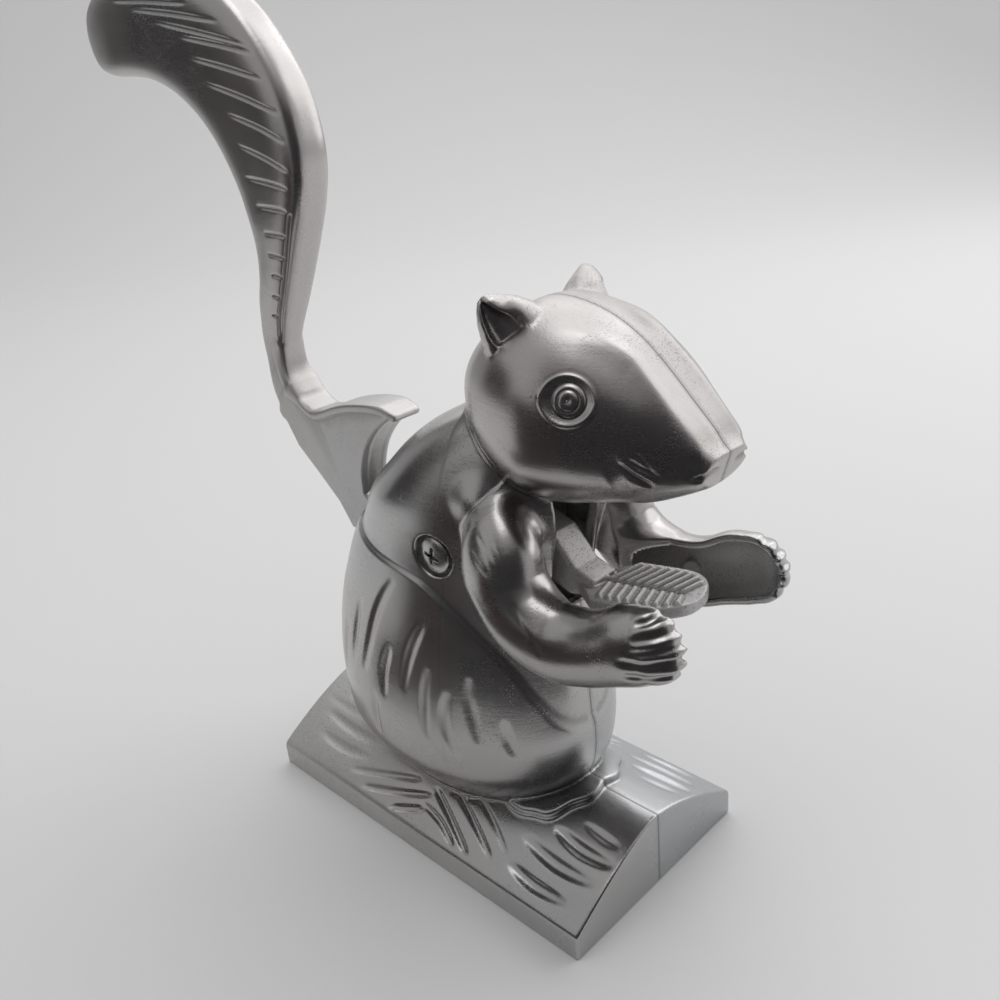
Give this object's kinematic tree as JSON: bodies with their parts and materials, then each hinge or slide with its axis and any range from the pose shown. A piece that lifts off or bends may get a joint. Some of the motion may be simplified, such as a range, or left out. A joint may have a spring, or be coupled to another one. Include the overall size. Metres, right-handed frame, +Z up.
{
  "type": "lever nutcracker press",
  "caption": "Table nutcracker in the form of a squirrel on a log: pressing the tail lever lifts a ribbed pad that cracks a nut against the chin.",
  "frame": {"origin": "centre of the base's underside, on the parting plane of the two halves", "axes": "+Z up, -Y the way the squirrel faces, +X to the squirrel's left, along the pivot"},
  "size_m": [0.072, 0.2457, 0.2493],
  "materials": {
    "casting": "cast, polished to satin, with darker grooves",
    "fastener": "zinc plated"
  },
  "bodies": {
    "squirrel": {"body_right": "casting", "body_left": "casting", "pivot_screw": "fastener", "pivot_washer": "fastener", "pivot_nut": "fastener", "tie_screw": "fastener", "locating_pins": "fastener"},
    "lever": {"tail_lever": "casting"}
  },
  "joints": [
    {"name": "lever_pivot", "type": "hinge", "parent": "squirrel", "child": "lever", "pos_m": [0, -0.012, 0.0985], "axis": [-1, 0, 0], "range_deg": [-7, 22.5]}
  ]
}
